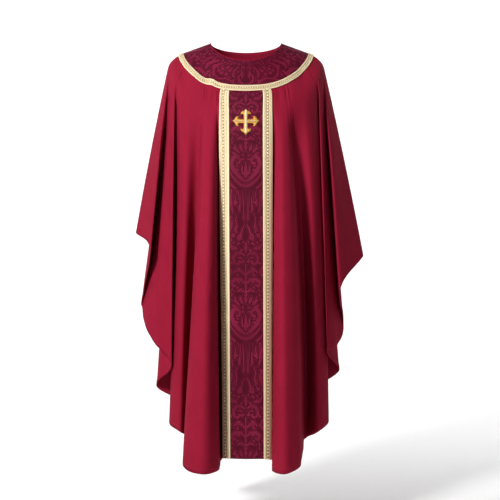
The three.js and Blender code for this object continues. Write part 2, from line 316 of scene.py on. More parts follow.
def side_rows(rows, side, share):
    """The fold lines of one side as (side, chest distance, hem out, hem forwards, hem down, bow)."""
    made = []
    for name, chest, out, depth, down, bow in rows:
        closer = 1 if name == "seam" else share
        made.append((name, side, chest, out * closer, depth * closer, down, bow))
    return made


FRONT_SIDES = side_rows(RIGHT_SIDE, -1, 1), side_rows(LEFT_SIDE, 1, 1)
BACK_SIDES = side_rows(LEFT_SIDE, 1, BACK_SCALE), side_rows(RIGHT_SIDE, -1, BACK_SCALE)
PANELS = {
    name: {"forward": forward, "lines": first + side_rows(MIDDLE, 1, 1) + second[::-1]}
    for name, forward, (first, second) in (("front", -1, FRONT_SIDES), ("back", 1, BACK_SIDES))
}


def eased(x):
    """0 below, x above, and a rounded corner between."""
    return np.where(x < -ROUNDING_V, 0, np.where(x > ROUNDING_V, x, (x + ROUNDING_V) ** 2 / (4 * ROUNDING_V)))


def ramp(v, start, end):
    """0 before the start, 1 after the end and straight between."""
    low = v if start == 0 else eased(v - start)
    high = 0 if end == 1 else eased(v - end)
    return (low - high) / (end - start)


def oval_point(oval, forward, sine, cosine, side):
    """A point of a half oval around the body."""
    k = 0 if forward < 0 else 1
    return np.array(
        (
            side * oval["half_width"] * sine ** oval["powers"][0],
            forward * oval["depth"][k] * cosine ** oval["powers"][1],
            NECK_HEIGHT + oval["z"] - oval["drop"][k] * cosine ** oval["powers"][2],
        )
    )


def fold_lines(panel, v):
    """Points of every fold line at the heights v, in millimetres, as (line, height, 3)."""
    forward = panel["forward"]
    below = ramp(v, CHEST_V, 1)
    deep = 1 - np.maximum(0, 1 - below) ** DEPTH_POWER
    rows = []
    for name, side, chest_x, out, depth, down, bow in panel["lines"]:
        sine = 1.0 if name == "seam" else (chest_x / CHEST["half_width"]) ** (1 / CHEST["powers"][0])
        cosine = math.sqrt(max(0.0, 1 - sine * sine))
        neck, yoke, chest = (oval_point(oval, forward, sine, cosine, side) for oval in (NECK, YOKE, CHEST))
        upper = np.outer(ramp(v, 0, YOKE_V), yoke - neck) + np.outer(ramp(v, YOKE_V, CHEST_V), chest - yoke)
        p = neck + upper
        p[:, 0] += (side * out - chest[0]) * below + side * bow * 4 * below * (1 - below)
        p[:, 1] += (forward * depth - chest[1]) * deep + forward * SEAM_GAP
        p[:, 2] += (NECK_HEIGHT - down - chest[2]) * below
        rows.append(p)
    return np.array(rows)


def between_lines(points, lines):
    """Points at places across the panel, counted in fold lines, on smooth curves through the fold lines."""
    ends = (2 * points[0] - points[1], 2 * points[-1] - points[-2])
    path = np.concatenate(([ends[0]], points, [ends[1]]))
    k = np.clip(np.floor(lines).astype(int), 0, len(points) - 2)
    w = (lines - k)[:, None, None]
    p0, p1, p2, p3 = (path[k + n] for n in range(4))
    d0, d1, d2 = (
        np.maximum(np.linalg.norm(b - a, axis=-1, keepdims=True) ** 0.5, 1e-3)
        for a, b in ((p0, p1), (p1, p2), (p2, p3))
    )
    m1 = ((p1 - p0) / d0 - (p2 - p0) / (d0 + d1) + (p2 - p1) / d1) * d1
    m2 = ((p2 - p1) / d1 - (p3 - p1) / (d1 + d2) + (p3 - p2) / d2) * d1
    return p1 + m1 * w + (3 * (p2 - p1) - 2 * m1 - m2) * w**2 + (2 * (p1 - p2) + m1 + m2) * w**3


def weights(t):
    """The four weights of a smooth curve through neighbouring points."""
    return (
        (-t + 2 * t**2 - t**3) / 2,
        (2 - 5 * t**2 + 3 * t**3) / 2,
        (t + 4 * t**2 - 3 * t**3) / 2,
        (-(t**2) + t**3) / 2,
    )


def sample(grid, across, down):
    """Values of a grid of vectors at fractional places, smoothly between its points."""
    across, down = np.broadcast_arrays(across, down)
    columns, rows = grid.shape[:2]
    i = np.clip(np.floor(across).astype(int), 0, columns - 2)
    j = np.clip(np.floor(down).astype(int), 0, rows - 2)
    wi, wj = weights(across - i), weights(down - j)
    total = np.zeros((*across.shape, grid.shape[2]))
    for a in range(4):
        for b in range(4):
            near = grid[np.clip(i + a - 1, 0, columns - 1), np.clip(j + b - 1, 0, rows - 1)]
            total += near * (wi[a] * wj[b])[..., None]
    return total


def unit(vectors):
    """The vectors at length 1."""
    return vectors / np.maximum(np.linalg.norm(vectors, axis=-1, keepdims=True), 1e-12)


def outwards(points):
    """Outward unit vectors of a grid of the cloth."""
    across = np.gradient(points, axis=0)
    along = np.gradient(points, axis=1)
    normals = unit(np.cross(along, across))
    normals[(0, -1), :, 1] = 0
    return unit(normals)


def travelled(points, axis=0):
    """Distance along each row of points from its first one."""
    steps = np.linalg.norm(np.diff(points, axis=axis), axis=-1)
    start = np.zeros_like(steps.take([0], axis=axis))
    return np.concatenate((start, np.cumsum(steps, axis=axis)), axis=axis)


def evenly(values, count):
    """A row of values sampled at even steps of its own places."""
    return np.interp(np.linspace(0, len(values) - 1, count), np.arange(len(values)), values)


def smooth_step(x, low, high):
    """0 below low, 1 above high, and an even rise between."""
    t = np.clip((x - low) / (high - low), 0, 1)
    return t * t * (3 - 2 * t)


def ripples(panel, lines, heights, points, sizes):
    """Adds the small ripples between the big folds and the puckers below the yoke's galloon."""
    arc = travelled(points[:, -1])[:, None]
    v = heights[None, :]
    phase = 0.7 if panel["forward"] < 0 else 2.1
    waves = np.zeros(points.shape[:2])
    for k, (length, share) in enumerate(((0.061, 0.24), (0.094, 0.34), (0.157, 0.42))):
        drift = 1.3 * np.sin(2.3 * v * (k + 1) + phase * k) + 0.4 * np.sin(arc * 9 + 6 * v)
        waves += share * np.sin(math.tau * arc / length + phase * (k + 1) + drift)
    from_middle = np.abs(lines - MIDDLE_LINE)[:, None]
    free = 0.12 + 0.88 * smooth_step(from_middle, 1.4, 3.2)
    from_seam = np.minimum(lines, LAST_LINE - lines)[:, None]
    grown = smooth_step(v, YOKE_V + 0.01, 0.42) * free * smooth_step(from_seam, 0, 1.5)
    oval = np.linspace(0, 1, len(lines))[:, None]
    puckers = np.sin(math.tau * 30 * oval + 2 * np.sin(19 * oval)) * np.exp(-(((v - 0.118) / 0.022) ** 2))
    height = sizes.ripple * waves * grown + sizes.pucker * puckers * smooth_step(from_seam, 0, 2) * free
    points = points + outwards(points) * height[..., None]
    if panel["forward"] < 0:
        # A fold on the wearer's right pinches the yoke's edge: it dips in, drops on one side and rises on the
        # other. A softer one lies on the left.
        for x, z, dip, rise, wide in (
            (-0.113, -0.108, 0.010, 0.0, 0.013),
            (-0.130, -0.108, 0.0, -0.003, 0.013),
            (-0.098, -0.112, -0.003, 0.004, 0.013),
            (0.160, -0.086, 0.006, 0.0, 0.018),
        ):
            near = np.exp(-(((points[..., 0] - x) / wide) ** 2) - ((points[..., 2] - z) / 0.03) ** 2)
            points[..., 1] += dip * near
            points[..., 2] += rise * near
    return points


def settled(points, lines, heights, most):
    """Lets the cloth relax under its own weight on a coarser mesh. Returns how each of its points moves."""
    columns, rows = points.shape[:2]
    index = np.arange(columns * rows).reshape(columns, rows)
    faces = np.stack((index[:-1, :-1], index[:-1, 1:], index[1:, 1:], index[1:, :-1]), -1).reshape(-1, 4)
    mesh = bpy.data.meshes.new("settling_cloth")
    mesh.from_pydata(points.reshape(-1, 3).tolist(), [], faces.tolist())
    cloth = bpy.data.objects.new("settling_cloth", mesh)
    bpy.context.scene.collection.objects.link(cloth)
    held = cloth.vertex_groups.new(name="held")
    v = heights[None, :]
    middle = np.abs(lines - MIDDLE_LINE)[:, None]
    seam = np.minimum(lines, LAST_LINE - lines)[:, None]
    loose = smooth_step(v, YOKE_V, 0.3) * smooth_step(middle, 1.6, 3.0) * smooth_step(seam, 0, 1.0)
    grip = 1 - 0.62 * loose
    for k, w in enumerate(grip.reshape(-1).tolist()):
        held.add((k,), w, "REPLACE")
    modifier = cloth.modifiers.new("settle", "CLOTH")
    modifier.settings.vertex_group_mass = "held"
    modifier.settings.quality = 6
    modifier.settings.mass = 0.25
    modifier.settings.tension_stiffness = 12
    modifier.settings.compression_stiffness = 12
    modifier.settings.shear_stiffness = 4
    modifier.settings.bending_stiffness = 0.3
    modifier.settings.shrink_min = -0.004
    modifier.collision_settings.use_collision = False
    modifier.point_cache.frame_end = SETTLING_FRAMES
    for step in range(1, SETTLING_FRAMES + 1):
        bpy.context.scene.frame_set(step)
    solid = cloth.evaluated_get(bpy.context.evaluated_depsgraph_get()).data
    moved = np.empty(columns * rows * 3)
    solid.vertices.foreach_get("co", moved)
    moves = moved.reshape(points.shape) - points
    bpy.data.objects.remove(cloth)
    bpy.context.scene.frame_set(1)
    far = np.linalg.norm(moves, axis=-1, keepdims=True)
    return moves * np.minimum(1, most / np.maximum(far, 1e-9))


def every_other(count):
    """Every second place of a row, with both ends."""
    return np.unique(np.concatenate((np.arange(0, count, 2), [count - 1])))


class Cloth:
    """One panel of the cloth as a fine grid of its inner face, with its outward vectors."""

    def __init__(self, name, sizes):
        panel = PANELS[name]
        knots = fold_lines(panel, np.array([1.0]))
        lines = []
        for k in range(LAST_LINE):
            ends = between_lines(knots, np.array([k, k + 0.5, k + 1.0]))[:, 0] * MM
            width = np.linalg.norm(np.diff(ends, axis=0), axis=1).sum()
            near_orphrey = MIDDLE_LINE - 4 <= k < MIDDLE_LINE + 4
            parts = max(3, math.ceil(width / sizes.column * (1.8 if near_orphrey else 1)))
            lines.append(k + np.arange(parts) / parts)
        self.lines = np.concatenate((*lines, [LAST_LINE]))
        upper = np.linspace(0, YOKE_V, 15)[:-1]
        chest = np.linspace(YOKE_V, CHEST_V, 12)[:-1]
        self.heights = np.concatenate((upper, chest, np.linspace(CHEST_V, 1, 82)))
        self.forward = panel["forward"]
        points = between_lines(fold_lines(panel, self.heights), self.lines) * MM
        points = ripples(panel, self.lines, self.heights, points, sizes)
        i, j = every_other(len(self.lines)), every_other(len(self.heights))
        moves = settled(points[np.ix_(i, j)], self.lines[i], self.heights[j], sizes.settle)
        across = np.interp(np.arange(len(self.lines)), i, np.arange(len(i)))
        down = np.interp(np.arange(len(self.heights)), j, np.arange(len(j)))
        points = points + sample(moves, across[:, None], down[None, :])
        # The seam stays on its own side of the shoulder seam's plane.
        points[..., 1] = self.forward * np.maximum(self.forward * points[..., 1], SEAM_GAP * MM)
        self.points = points
        self.normals = outwards(points)
        self.down = travelled(points, axis=1)
        out = travelled(points)
        middle = int(np.argmin(np.abs(self.lines - MIDDLE_LINE)))
        self.out = out - out[middle]

    def places(self, lines, heights):
        """Fractional grid places of fold line positions and heights."""
        lines, heights = np.broadcast_arrays(lines, heights)
        across = np.interp(lines, self.lines, np.arange(len(self.lines)))
        return across, np.interp(heights, self.heights, np.arange(len(self.heights)))

    def at(self, lines, heights, lift):
        """Points lifted off the cloth's inner face by a height in metres."""
        outward = self.normal(lines, heights)
        return sample(self.points, *self.places(lines, heights)) + outward * np.asarray(lift)[..., None]

    def normal(self, lines, heights):
        """Outward vectors."""
        return unit(sample(self.normals, *self.places(lines, heights)))

    def measure(self, lines, heights):
        """Distance across from the middle and distance down from the neck, in metres, along the cloth."""
        both = np.stack((self.out, self.down), -1)
        return sample(both, *self.places(lines, heights))

    def from_neck(self, lines, distance):
        """The height that lies a distance in millimetres from the neck's edge."""
        return distance * MM * YOKE_V / self.measure(lines, YOKE_V)[..., 1]

    def above_hem(self, lines, distance):
        """The height that lies a distance in millimetres above the hem."""
        span = self.measure(lines, 1)[..., 1] - self.measure(lines, 0.9)[..., 1]
        return 1 - distance * MM * 0.1 / span


CLOTHS = {}
MATERIALS = {}

# The wave texture repeats every 0.314 units at a scale of 1. Pitches are in millimetres.
WAVE = 0.314
IN_MILLIMETRES = (1 / MM, 1 / MM, 1 / MM)
TWILL_RIDGE = 0.897
DAMASK_RIB = 0.698
BRAID_PICK = 2.73


def add(tree, kind, inputs=None, **properties):
    """Adds one node to a tree with its properties. An input is a value, a socket or a node's first output."""
    node = tree.nodes.new(kind)
    for key, value in properties.items():
        setattr(node, key, value)
    for key, value in (inputs or {}).items():
        source = value.outputs[0] if isinstance(value, bpy.types.Node) else value
        if isinstance(source, bpy.types.NodeSocket):
            tree.links.new(source, node.inputs[key])
        else:
            node.inputs[key].default_value = source
    return node


def started(name):
    """A new material's empty node tree."""
    material = bpy.data.materials.new(name)
    material.use_nodes = True
    material.node_tree.nodes.clear()
    MATERIALS[name] = material
    return material.node_tree


def finished(tree, colour, **surface):
    """Joins a colour and other inputs or fixed values to one surface shader."""
    shader = add(tree, "ShaderNodeBsdfPrincipled", {"Base Color": colour, **surface})
    add(tree, "ShaderNodeOutputMaterial", {"Surface": shader})


def opaque(colour):
    """A colour with full opacity."""
    return (*colour[:3], 1)


def twill_material(colours):
    """Fine twill: steep diagonal ridges under a millimetre apart, slightly uneven in colour, with painted
    shade between the ridges.
    """
    tree = started("red_woven_twill")
    place = add(tree, "ShaderNodeUVMap", uv_map="cloth")
    # The eye sees the slant of the twill only close up, and from afar a soft unevenness of the dye.
    weave = {"Vector": place, "Rotation": (0, 0, 1.1), "Scale": IN_MILLIMETRES}
    slant = add(tree, "ShaderNodeMapping", weave)
    wave = {"Vector": slant, "Scale": WAVE / TWILL_RIDGE, "Distortion": 0.6}
    ridges = add(tree, "ShaderNodeTexWave", wave).outputs[1]
    dye = add(tree, "ShaderNodeTexNoise", {"Vector": place, "Scale": 14, "Detail": 3})
    slub = add(tree, "ShaderNodeMapping", {"Vector": place, "Scale": (900, 60, 1)})
    slubs = add(tree, "ShaderNodeTexNoise", {"Vector": slub, "Scale": 1, "Detail": 2})
    uneven = add(tree, "ShaderNodeMath", {0: dye, 1: slubs, 2: 0.12}, operation="MULTIPLY_ADD")
    # The dark red's share: painted shade between the ridges, and the dye's real unevenness.
    share = add(tree, "ShaderNodeMath", {0: ridges, 1: 0.22, 2: uneven}, operation="MULTIPLY_ADD")
    reds = {0: share, 6: opaque(colours.twill_dye_and_shade), 7: opaque(colours.twill)}
    colour = add(tree, "ShaderNodeMix", reds, data_type="RGBA").outputs[2]
    height = add(tree, "ShaderNodeMath", {0: ridges, 1: slubs}, operation="ADD")
    bump = add(tree, "ShaderNodeBump", {"Height": height, "Strength": 0.2, "Distance": 0.12 * MM})
    rough = add(tree, "ShaderNodeMapRange", {"Value": ridges, "To Min": 0.85, "To Max": 0.7})
    finished(tree, colour, **{"Normal": bump, "Roughness": rough, "Specular IOR Level": 0.03})


def damask_material(colours):
    """Silk and viscose damask: a satin figure that catches the light on a duller ribbed ground."""
    tree = started("wine_damask")
    place = add(tree, "ShaderNodeUVMap", uv_map="cloth")
    figure = add(tree, "ShaderNodeAttribute", attribute_name="figure").outputs[2]
    # The edge of the figure is stepped by single threads, so the eye sees it slightly frayed.
    threads = add(tree, "ShaderNodeTexNoise", {"Vector": place, "Scale": 900, "Detail": 1})
    frayed = add(tree, "ShaderNodeMath", {0: threads, 1: 0.9, 2: figure}, operation="MULTIPLY_ADD")
    inside = add(tree, "ShaderNodeMapRange", {"Value": frayed, "From Min": 0.85, "From Max": 0.05})
    # A thin echo line runs round each stroke and a thin vein inside it.
    drawn = inside
    for distance, strength in ((2.7, 0.55), (-2.3, -0.6)):
        away = add(tree, "ShaderNodeMath", {0: frayed, 1: distance + 0.45}, operation="SUBTRACT")
        size = add(tree, "ShaderNodeMath", {0: away}, operation="ABSOLUTE")
        line = add(tree, "ShaderNodeMapRange", {"Value": size, "From Min": 0.7, "From Max": 0.35})
        drawn = add(tree, "ShaderNodeMath", {0: line, 1: strength, 2: drawn}, operation="MULTIPLY_ADD")
    # The figure stands out more in some places than in others, as the light finds the satin.
    patches = add(tree, "ShaderNodeTexNoise", {"Vector": place, "Scale": 9, "Detail": 2})
    spread = {"Value": patches, "From Min": 0.3, "From Max": 0.7, "To Min": 0.45}
    shown = add(tree, "ShaderNodeMapRange", spread)
    share = add(tree, "ShaderNodeMath", {0: drawn, 1: shown}, operation="MULTIPLY")
    weave = add(tree, "ShaderNodeMapping", {"Vector": place, "Scale": IN_MILLIMETRES})
    wave = {"Vector": weave, "Scale": WAVE / DAMASK_RIB, "Distortion": 0.4}
    ribs = add(tree, "ShaderNodeTexWave", wave, bands_direction="Y").outputs[1]
    shaded = add(tree, "ShaderNodeMath", {0: ribs, 1: 0.14, 2: share}, operation="MULTIPLY_ADD")
    wines = {0: shaded, 6: opaque(colours.ground), 7: opaque(colours.figure)}
    colour = add(tree, "ShaderNodeMix", wines, data_type="RGBA").outputs[2]
    height = add(tree, "ShaderNodeMath", {0: ribs, 1: 0.5, 2: drawn}, operation="MULTIPLY_ADD")
    bump = add(tree, "ShaderNodeBump", {"Height": height, "Strength": 0.4, "Distance": 0.3 * MM})
    rough = add(tree, "ShaderNodeMapRange", {"Value": inside, "To Min": 0.62, "To Max": 0.42})
    finished(tree, colour, **{"Normal": bump, "Roughness": rough, "Specular IOR Level": 0.08})


def thread_material(name, high, low, metal, rough, pitch):
    """Wound thread: close turns across the piece, bright with painted light on top and painted brown shade
    between them.
    """
    tree = started(name)
    place = add(tree, "ShaderNodeTexCoord").outputs["Object"]
    turned = add(tree, "ShaderNodeMapping", {"Vector": place, "Rotation": (0, 0.6, 0)})
    wave = {"Vector": turned, "Scale": WAVE / (pitch * MM), "Distortion": 0.8}
    turns = add(tree, "ShaderNodeTexWave", wave, bands_direction="Z").outputs[1]
    glint = add(tree, "ShaderNodeTexNoise", {"Vector": place, "Scale": 1400, "Detail": 1})
    # Painted light: the tops of the turns are lit, with a painted glint, and painted shade lies between them.
    share = add(tree, "ShaderNodeMath", {0: turns, 1: glint, 2: 0.3}, operation="MULTIPLY_ADD")
    colour = add(tree, "ShaderNodeMix", {0: share, 6: low, 7: high}, data_type="RGBA").outputs[2]
    bump = add(tree, "ShaderNodeBump", {"Height": turns, "Strength": 0.5, "Distance": 0.3 * MM})
    finished(tree, colour, **{"Normal": bump, "Roughness": rough, "Metallic": metal})


def braid_material(colours):
    """Woven metallic braid: pale gold threads raised over the hollows between them, which are painted a
    darker olive gold as shade.
    """
    tree = started("pale_gold_braid")
    place = add(tree, "ShaderNodeUVMap", uv_map="cloth")
    relief = add(tree, "ShaderNodeAttribute", attribute_name="relief").outputs[2]
    weave = add(tree, "ShaderNodeMapping", {"Vector": place, "Scale": IN_MILLIMETRES})
    # The real picks are finer. They are drawn this coarse so that they show at the size of the whole cloak.
    wave = {"Vector": weave, "Scale": WAVE / BRAID_PICK, "Distortion": 0.4}
    picks = add(tree, "ShaderNodeTexWave", wave, bands_direction="Y").outputs[1]
    threads = add(tree, "ShaderNodeTexNoise", {"Vector": place, "Scale": 1200, "Detail": 1})
    # Painted shade: the braid darkens between the picks and in the low hollows of its relief.
    painted_pick_shade = add(tree, "ShaderNodeMath", {0: picks, 1: 0.55, 2: 0.5}, operation="MULTIPLY_ADD")
    raised = add(tree, "ShaderNodeMath", {0: threads, 1: 0.5, 2: relief}, operation="MULTIPLY_ADD")
    share = add(tree, "ShaderNodeMath", {0: painted_pick_shade, 1: raised}, operation="MULTIPLY")
    golds = {0: share, 6: opaque(colours.gold_hollow_shade), 7: opaque(colours.gold)}
    colour = add(tree, "ShaderNodeMix", golds, data_type="RGBA").outputs[2]
    bump = add(tree, "ShaderNodeBump", {"Height": picks, "Strength": 0.6, "Distance": 0.4 * MM})
    finished(tree, colour, **{"Normal": bump, "Roughness": 0.5, "Metallic": 0.1})


def paper_material():
    """Matt white studio paper with a faint grain."""
    tree = started("pale_studio_paper")
    place = add(tree, "ShaderNodeTexCoord").outputs["Object"]
    grain = add(tree, "ShaderNodeTexNoise", {"Vector": place, "Scale": 40, "Detail": 3})
    whites = {0: grain, 6: (0.88, 0.88, 0.88, 1), 7: (0.92, 0.92, 0.92, 1)}
    colour = add(tree, "ShaderNodeMix", whites, data_type="RGBA").outputs[2]
    finished(tree, colour, Roughness=0.9)


def grid_faces(columns, rows):
    """Faces of a closed sheet whose outer grid comes first and whose inner grid comes after it."""
    outer = np.arange(columns * rows).reshape(columns, rows)
    inner = outer + columns * rows

    def quads(a):
        """The faces between neighbouring points of one grid."""
        return np.stack((a[:-1, :-1], a[:-1, 1:], a[1:, 1:], a[1:, :-1]), -1).reshape(-1, 4)

    parts = [quads(outer), quads(inner)[:, ::-1]]
    for top, under in (
        (outer[:, 0][::-1], inner[:, 0][::-1]),
        (outer[:, -1], inner[:, -1]),
        (outer[0], inner[0]),
        (outer[-1][::-1], inner[-1][::-1]),
    ):
        parts.append(np.stack((top[:-1], under[:-1], under[1:], top[1:]), -1))
    return np.concatenate(parts)


def new_object(name, points, faces, material):
    """A smooth mesh object in the part's own frame."""
    mesh = bpy.data.meshes.new(name)
    mesh.from_pydata(np.reshape(points, (-1, 3)).tolist(), [], [list(face) for face in faces])
    mesh.shade_smooth()
    mesh.materials.append(material)
    made = bpy.data.objects.new(name, mesh)
    bpy.context.scene.collection.objects.link(made)
    return made


def face_outwards(mesh):
    """Turns a closed mesh the right way out by its signed volume."""
    mesh.calc_loop_triangles()
    corners = np.empty(len(mesh.loop_triangles) * 3, dtype=np.int32)
    mesh.loop_triangles.foreach_get("vertices", corners)
    places = np.empty(len(mesh.vertices) * 3)
    mesh.vertices.foreach_get("co", places)
    a, b, c = places.reshape(-1, 3)[corners.reshape(-1, 3)].transpose(1, 0, 2)
    if np.einsum("ij,ij->", a, np.cross(b, c)) < 0:
        mesh.flip_normals()


def add_weave(mesh, across, down):
    """A UV map in metres of cloth, so that woven patterns keep their real size."""
    layer = mesh.uv_layers.new(name="cloth")
    loops = np.empty(len(mesh.loops), dtype=np.int32)
    mesh.loops.foreach_get("vertex_index", loops)
    pairs = np.stack((across.reshape(-1), down.reshape(-1)), -1)
    pairs = np.concatenate([pairs] * (len(mesh.vertices) // len(pairs)))
    layer.uv.foreach_set("vector", pairs[loops].astype(np.float32).reshape(-1))


def add_values(mesh, name, values):
    """One number on each point, the same on both faces of a sheet."""
    values = np.reshape(values, -1)
    values = np.concatenate([values] * (len(mesh.vertices) // len(values)))
    mesh.attributes.new(name, "FLOAT", "POINT").data.foreach_set("value", values.astype(np.float32))


def sheet_piece(name, cloth, lines, heights, low, high, material, **values):
    """A closed sheet between two heights over the cloth, on a grid of fold line positions and heights."""
    lines, heights = np.broadcast_arrays(lines, heights)
    low, high = (np.broadcast_to(np.asarray(x, float), lines.shape) for x in (low, high))
    outer, inner = cloth.at(lines, heights, high), cloth.at(lines, heights, low)
    made = new_object(name, np.concatenate((outer, inner)), grid_faces(*lines.shape), material)
    face_outwards(made.data)
    measure = cloth.measure(lines, heights)
    add_weave(made.data, measure[..., 0], measure[..., 1])
    for key, value in values.items():
        add_values(made.data, key, value)
    return made


def finish_piece(made, slot, *nodes):
    """Lets a piece ride on the part's one body, in the place of its CAD nodes."""
    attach(made, "root")
    if nodes:
        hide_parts(*nodes)
    return made


def studs_tree():
    """Geometry nodes that set small rounded studs along a path, each turned to the path and to the cloth."""
    tree = bpy.data.node_groups.new("studs_along_path", "GeometryNodeTree")
    tree.interface.new_socket("Path", in_out="INPUT", socket_type="NodeSocketGeometry")
    for label in ("Spacing", "Slant"):
        tree.interface.new_socket(label, in_out="INPUT", socket_type="NodeSocketFloat")
    tree.interface.new_socket("Size", in_out="INPUT", socket_type="NodeSocketVector")
    tree.interface.new_socket("Material", in_out="INPUT", socket_type="NodeSocketMaterial")
    tree.interface.new_socket("Studs", in_out="OUTPUT", socket_type="NodeSocketGeometry")
    given = add(tree, "NodeGroupInput").outputs
    curve = add(tree, "GeometryNodeMeshToCurve", {"Mesh": given["Path"]})
    spaced = {"Curve": curve, "Length": given["Spacing"]}
    evened = add(tree, "GeometryNodeResampleCurve", spaced, mode="LENGTH")
    outward = add(tree, "GeometryNodeInputNamedAttribute", {"Name": "outward"}, data_type="FLOAT_VECTOR")
    along = add(tree, "GeometryNodeInputTangent")
    up = add(tree, "FunctionNodeAlignRotationToVector", {"Vector": outward}, axis="Z")
    inputs = {"Rotation": up, "Vector": along}
    turned = add(tree, "FunctionNodeAlignRotationToVector", inputs, axis="X", pivot_axis="Z")
    slant = add(tree, "ShaderNodeCombineXYZ", {"Z": given["Slant"]})
    slanted = add(tree, "FunctionNodeEulerToRotation", {0: slant})
    both = {"Rotation": turned, "Rotate By": slanted}
    rotation = add(tree, "FunctionNodeRotateRotation", both, rotation_space="LOCAL")
    stud = add(tree, "GeometryNodeMeshUVSphere", {"Segments": 8, "Rings": 5, "Radius": 0.5})
    smooth = add(tree, "GeometryNodeSetShadeSmooth", {0: stud})
    placed = {"Points": evened, "Instance": smooth, "Rotation": rotation, "Scale": given["Size"]}
    studs = add(tree, "GeometryNodeInstanceOnPoints", placed)
    real = add(tree, "GeometryNodeRealizeInstances", {0: studs})
    painted = add(tree, "GeometryNodeSetMaterial", {"Geometry": real, "Material": given["Material"]})
    add(tree, "NodeGroupOutput", {"Studs": painted})
    return tree


def studs_along(name, paths, outward, spacing, size, slant, material):
    """Studs along one or more paths as a plain mesh object."""
    mesh = bpy.data.meshes.new(name + "_path")
    edges = []
    start = 0
    for path in paths:
        edges += [(start + k, start + k + 1) for k in range(len(path) - 1)]
        start += len(path)
    mesh.from_pydata(np.concatenate(paths).tolist(), edges, [])
    directions = mesh.attributes.new("outward", "FLOAT_VECTOR", "POINT")
    directions.data.foreach_set("vector", np.concatenate(outward).astype(np.float32).reshape(-1))
    carrier = bpy.data.objects.new(name + "_path", mesh)
    bpy.context.scene.collection.objects.link(carrier)
    tree = bpy.data.node_groups.get("studs_along_path") or studs_tree()
    modifier = carrier.modifiers.new("studs", "NODES")
    modifier.node_group = tree
    given = {"Spacing": spacing, "Slant": slant, "Size": size, "Material": material}
    for item in tree.interface.items_tree:
        if item.in_out == "INPUT" and item.name in given:
            modifier[item.identifier] = given[item.name]
    solid = bpy.data.meshes.new_from_object(carrier.evaluated_get(bpy.context.evaluated_depsgraph_get()))
    bpy.data.objects.remove(carrier)
    if not len(solid.vertices):
        raise RuntimeError(name + ": no studs were made")
    solid.name = name
    if not solid.materials:
        solid.materials.append(material)
    made = bpy.data.objects.new(name, solid)
    bpy.context.scene.collection.objects.link(made)
    return made


def figure_distance(strokes, x, y):
    """Distance in millimetres from each point to the nearest stroke's edge, less than 0 inside it."""
    nearest = np.full(x.shape, 99.0)
    for stroke in strokes:
        for (ax, ay, ar), (bx, by, br) in zip(stroke[:-1], stroke[1:]):
            dx, dy = bx - ax, by - ay
            t = np.clip(((x - ax) * dx + (y - ay) * dy) / (dx * dx + dy * dy), 0, 1)
            away = np.hypot(x - ax - t * dx, y - ay - t * dy) - (ar + (br - ar) * t)
            nearest = np.minimum(nearest, away)
    return nearest


def small_leaves(strokes, width, height, count, seed):
    """Small curved leaves that fill the ground between the big strokes, always the same ones."""
    dice = np.random.default_rng(seed)
    made = []
    for _ in range(count):
        x, y = dice.uniform(1.5, width), dice.uniform(0, height)
        turn, bend, long = dice.uniform(0, math.tau), dice.uniform(-0.9, 0.9), dice.uniform(5, 9)
        ends = []
        for k in (-1, 0, 1):
            angle = turn + bend * k
            ends.append((x + long * k * math.cos(angle), y + long * k * math.sin(angle)))
        clear = figure_distance(strokes + tuple(made), *np.array(ends).T)
        if clear.min() > 1.6 and min(p[0] for p in ends) > 1:
            made.append(((*ends[0], 0.5), (*ends[1], dice.uniform(1.8, 2.9)), (*ends[2], 0.5)))
    return tuple(made)


def braid_relief(t):
    """Height of the galloon's ground over its width, from 0 in the hollows to 1 on the cords at its edges."""
    edge = np.maximum(np.exp(-(((t - 0.07) / 0.055) ** 2)), np.exp(-(((t - 0.93) / 0.055) ** 2)))
    bands = 0.66 * smooth_step(np.abs(t - BEAD_ROW), 0.12, 0.17)
    return np.maximum(edge, bands)


class CHASUBLE_OT_materials(bpy.types.Operator):
    """Makes the materials of the cloths, braids and threads"""

    bl_idname = "chasuble.materials"
    bl_label = "Materials"

    def execute(self, context):
        colours = context.scene.chasuble_colours
        twill_material(colours)
        damask_material(colours)
        braid_material(colours)
        paper_material()
        names = ("twill", "twill_dye_and_shade", "gold", "gold_hollow_shade", "thread", "outline", "silver", "label")
        red, shade, gold, hollow, yellow, brown, silver, satin = (opaque(getattr(colours, n)) for n in names)
        # The lit colour on top of the turns, the painted shade between them, metallic, roughness and the
        # turns' pitch.
        for name, *look in (
            ("pale_gold_purl", gold, hollow, 0.35, 0.38, 1.1),
            ("pale_bead_purl", silver, gold, 0.2, 0.35, 1.1),
            ("yellow_gold_embroidery", yellow, brown, 0.35, 0.42, 0.9),
            ("brown_gold_cord", brown, (0.12, 0.05, 0.01, 1), 0.3, 0.45, 1.2),
            ("pale_gold_embroidery", silver, gold, 0.2, 0.4, 0.9),
            ("white_satin_label", satin, (0.6, 0.58, 0.54, 1), 0.0, 0.4, 0.6),
            ("red_sewing_thread", red, shade, 0.0, 0.5, 0.6),
        ):
            thread_material(name, *look)
        return {"FINISHED"}


class CHASUBLE_OT_panels(bpy.types.Operator):
    """Drapes the front and the back panel and lets them settle"""

    bl_idname = "chasuble.panels"
    bl_label = "Panels"

    def execute(self, context):
        sizes = context.scene.chasuble_sizes
        for side in PANELS:
            cloth = CLOTHS[side] = Cloth(side, sizes)
            panel = sheet_piece(
                side + "_panel_cloth",
                cloth,
                cloth.lines[:, None],
                cloth.heights[None, :],
                0,
                sizes.cloth,
                MATERIALS["red_woven_twill"],
            )
            finish_piece(panel, "red_twill", side + "_panel")
        return {"FINISHED"}


def damask_lift(sizes):
    """Heights of the damask's two faces over the cloth's inner face."""
    low = sizes.cloth + LAYER_GAP * MM
    return low, low + sizes.damask


